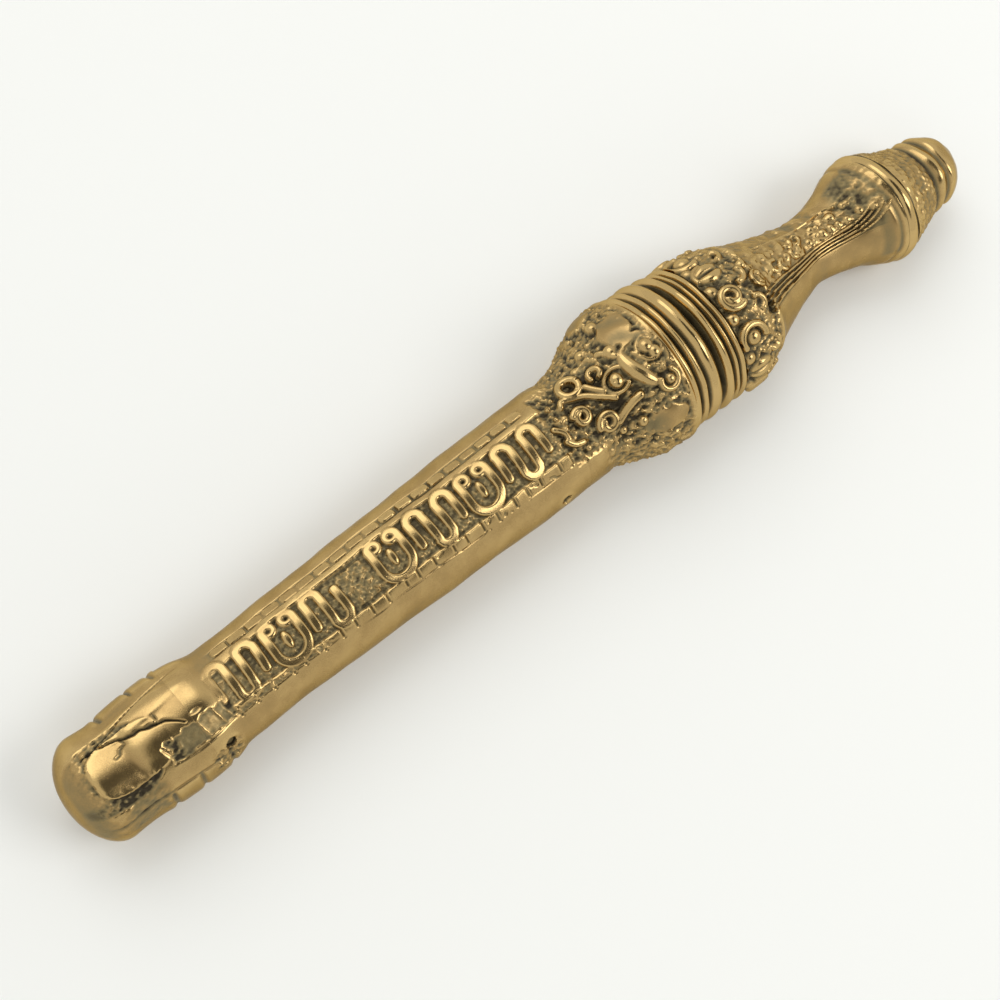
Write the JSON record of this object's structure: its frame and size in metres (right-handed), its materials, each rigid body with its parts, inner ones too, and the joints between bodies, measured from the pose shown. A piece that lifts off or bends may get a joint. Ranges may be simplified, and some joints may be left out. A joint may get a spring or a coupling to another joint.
{
  "type": "mezuzah case",
  "caption": "Cast brass mezuzah case shaped like a dagger in its sheath; the hilt-shaped cap pulls off the mouth to take out the rolled parchment kept inside the body.",
  "frame": {"origin": "middle of the object's footprint, on the flat back that it rests on", "axes": "+Y along the case from the rounded foot to the finial, +Z out of the decorated front, +X to the flank with the two recessed pins"},
  "size_m": [0.024, 0.165, 0.0191],
  "materials": {
    "antiqued_brass": "lost-wax cast, dark patina in the recesses, rubbed bright on the high spots",
    "polished_brass": "rubbed bright",
    "drawn_brass": "drawn tube, satin",
    "parchment": "matt scraped skin",
    "wrapper_paper": "thin translucent paper",
    "thread": "waxed thread"
  },
  "bodies": {
    "case": {"case_tube": "antiqued_brass", "foot_cap": "antiqued_brass", "foot_cap_pin": "polished_brass", "mouth_collar": "antiqued_brass", "mouth_collar_pin": "polished_brass", "mouth_ring": "polished_brass"},
    "cap": {"cap_ring": "polished_brass", "cap_shell": "antiqued_brass", "cap_sleeve": "drawn_brass", "pommel_ring": "polished_brass", "finial": "antiqued_brass"},
    "scroll": {"parchment_scroll": "parchment", "scroll_wrapper": "wrapper_paper", "scroll_tie": "thread"}
  },
  "joints": [
    {"name": "cap_pull", "type": "slide", "parent": "case", "child": "cap", "axis": [0, 1, 0], "range_m": [0, 0.13]},
    {"name": "scroll_draw", "type": "slide", "parent": "case", "child": "scroll", "axis": [0, 1, 0], "range_m": [0, 0.1105]}
  ],
  "couplings": [
    {"joint": "scroll_draw", "follows": "cap_pull", "ratio": 0.85}
  ]
}
